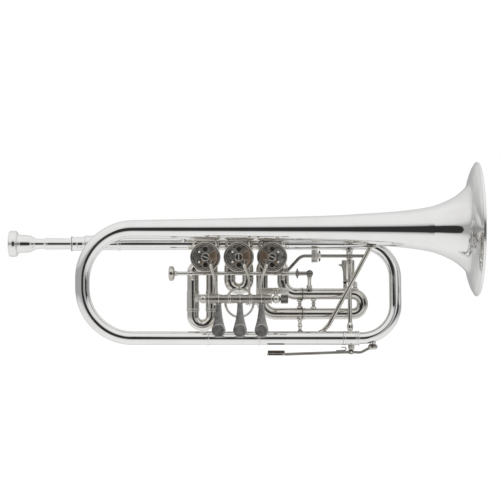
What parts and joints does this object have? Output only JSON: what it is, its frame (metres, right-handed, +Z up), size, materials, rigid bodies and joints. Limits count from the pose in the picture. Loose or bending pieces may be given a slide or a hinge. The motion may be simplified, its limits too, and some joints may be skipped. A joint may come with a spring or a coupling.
{
  "type": "rotary valve trumpet",
  "caption": "Rotary valve trumpet: a coiled silver plated tube with a flared bell, finger levers linked to turning valves, pull-out slides, water keys and a loose mouthpiece.",
  "frame": {"origin": "centre of the middle valve, where the hand holds the trumpet, in the plane of the leadpipe and the valve tubes", "axes": "+X along the bell towards its mouth, +Y away from the front of the valves, +Z up from the levers to the bell"},
  "size_m": [0.4711, 0.1344, 0.1938],
  "materials": {
    "silver": "brass with polished silver plate",
    "satin_silver": "brass with satin silver plate",
    "rotor_brass": "bare turned brass",
    "spring_steel": "spring steel",
    "dark_steel": "dark knurled steel",
    "cork": "dark cork"
  },
  "bodies": {
    "trumpet_frame": {"axle_left_bracket": "silver", "axle_right_bracket": "silver", "bell": "silver", "bell_bow": "silver", "bell_stay": "silver", "bottom_tube": "silver", "cross_brace": "silver", "diagonal_brace": "silver", "leadpipe": "silver", "lever_axle": "dark_steel", "lever_spring_1": "spring_steel", "lever_spring_2": "spring_steel", "lever_spring_3": "spring_steel", "lower_tuning_sleeve": "silver", "mouthpiece_receiver": "silver", "third_slide_lower_knuckle": "silver", "third_slide_stay": "silver", "third_slide_tube_brace": "silver", "third_slide_upper_knuckle": "silver", "upper_tuning_sleeve": "silver", "valve_1_back_cap": "silver", "valve_1_casing": "silver", "valve_1_front_plate": "silver", "valve_1_rear_bearing": "rotor_brass", "valve_2_back_cap": "silver", "valve_2_casing": "silver", "valve_2_front_plate": "silver", "valve_2_rear_bearing": "rotor_brass", "valve_3_back_cap": "silver", "valve_3_casing": "silver", "valve_3_front_plate": "silver", "valve_3_rear_bearing": "rotor_brass"},
    "lever_1": {"lever_1": "satin_silver"},
    "lever_2": {"lever_2": "satin_silver"},
    "lever_3": {"lever_3": "satin_silver"},
    "rotor_1": {"rotor_1": "rotor_brass", "stop_arm_1": "silver"},
    "rotor_2": {"rotor_2": "rotor_brass", "stop_arm_2": "silver"},
    "rotor_3": {"rotor_3": "rotor_brass", "stop_arm_3": "silver"},
    "link_1": {"link_1": "silver"},
    "link_2": {"link_2": "silver"},
    "link_3": {"link_3": "silver"},
    "first_slide": {"first_slide": "silver"},
    "second_slide": {"second_slide": "silver", "second_slide_ring": "silver"},
    "third_slide": {"third_slide": "silver", "push_rod": "silver"},
    "third_key": {"third_slide_key": "silver"},
    "tuning_slide": {"tuning_bow": "silver", "tuning_slide_brace": "silver", "water_key_bracket": "silver"},
    "water_key": {"water_key_lever": "silver", "water_key_pad": "cork", "water_key_cork": "cork", "water_key_spring": "spring_steel"},
    "wing_nut": {"wing_nut": "silver"},
    "mouthpiece": {"mouthpiece": "silver"}
  },
  "joints": [
    {"name": "lever_1_press", "type": "hinge", "parent": "trumpet_frame", "child": "lever_1", "pos_m": [-0.0196, -0.0424, -0.0413], "axis": [1, 0, 0], "range_deg": [0, 26.5], "stiffness_Nm_per_rad": 0.04, "springref_deg": -20.05},
    {"name": "lever_2_press", "type": "hinge", "parent": "trumpet_frame", "child": "lever_2", "pos_m": [0.0015, -0.0424, -0.0413], "axis": [1, 0, 0], "range_deg": [0, 26.5], "stiffness_Nm_per_rad": 0.04, "springref_deg": -20.05},
    {"name": "lever_3_press", "type": "hinge", "parent": "trumpet_frame", "child": "lever_3", "pos_m": [0.0226, -0.0424, -0.0413], "axis": [1, 0, 0], "range_deg": [0, 26.5], "stiffness_Nm_per_rad": 0.04, "springref_deg": -20.05},
    {"name": "rotor_1_turn", "type": "hinge", "parent": "trumpet_frame", "child": "rotor_1", "pos_m": [-0.0334, 0, 0], "axis": [0, -1, 0], "range_deg": [0, 90.5]},
    {"name": "link_1_swing", "type": "hinge", "parent": "lever_1", "child": "link_1", "pos_m": [-0.021, -0.0217, -0.0463], "axis": [1, 0, 0], "range_deg": [-27, 0.5]},
    {"name": "rotor_2_turn", "type": "hinge", "parent": "trumpet_frame", "child": "rotor_2", "pos_m": [0, 0, 0], "axis": [0, -1, 0], "range_deg": [0, 90.5]},
    {"name": "link_2_swing", "type": "hinge", "parent": "lever_2", "child": "link_2", "pos_m": [0.0109, -0.0217, -0.0463], "axis": [1, 0, 0], "range_deg": [-27, 0.5]},
    {"name": "rotor_3_turn", "type": "hinge", "parent": "trumpet_frame", "child": "rotor_3", "pos_m": [0.0334, 0, 0], "axis": [0, 1, 0], "range_deg": [0, 90.5]},
    {"name": "link_3_swing", "type": "hinge", "parent": "lever_3", "child": "link_3", "pos_m": [0.0198, -0.0217, -0.0463], "axis": [1, 0, 0], "range_deg": [-27, 0.5]},
    {"name": "first_slide_pull", "type": "slide", "parent": "trumpet_frame", "child": "first_slide", "axis": [0, 0, -1], "range_m": [0, 0.012]},
    {"name": "second_slide_pull", "type": "slide", "parent": "trumpet_frame", "child": "second_slide", "axis": [0, 0, -1], "range_m": [0, 0.006]},
    {"name": "third_slide_push", "type": "slide", "parent": "trumpet_frame", "child": "third_slide", "axis": [1, 0, 0], "range_m": [0, 0.012]},
    {"name": "tuning_slide_pull", "type": "slide", "parent": "trumpet_frame", "child": "tuning_slide", "axis": [1, 0, 0], "range_m": [0, 0.012]},
    {"name": "mouthpiece_pull", "type": "slide", "parent": "trumpet_frame", "child": "mouthpiece", "axis": [-1, 0, 0], "range_m": [0, 0.025]},
    {"name": "water_key_press", "type": "hinge", "parent": "tuning_slide", "child": "water_key", "pos_m": [0.1125, -0.017, -0.095], "axis": [0, 1, 0], "range_deg": [0, 3.4], "stiffness_Nm_per_rad": 0.2, "springref_deg": -28.65},
    {"name": "third_slide_key_press", "type": "hinge", "parent": "third_slide", "child": "third_key", "pos_m": [0.1072, 0.002, -0.0253], "axis": [0, -1, 0], "range_deg": [0, 8], "stiffness_Nm_per_rad": 0.02, "springref_deg": -28.65},
    {"name": "wing_nut_turn", "type": "hinge", "parent": "trumpet_frame", "child": "wing_nut", "pos_m": [0.081, -0.007, 0.001], "axis": [1, 0, 0], "continuous": true}
  ],
  "couplings": [
    {"joint": "rotor_1_turn", "follows": "lever_1_press", "ratio": 3.3962},
    {"joint": "link_1_swing", "follows": "lever_1_press", "ratio": -1},
    {"joint": "rotor_2_turn", "follows": "lever_2_press", "ratio": 3.3962},
    {"joint": "link_2_swing", "follows": "lever_2_press", "ratio": -1},
    {"joint": "rotor_3_turn", "follows": "lever_3_press", "ratio": 3.3962},
    {"joint": "link_3_swing", "follows": "lever_3_press", "ratio": -1}
  ]
}
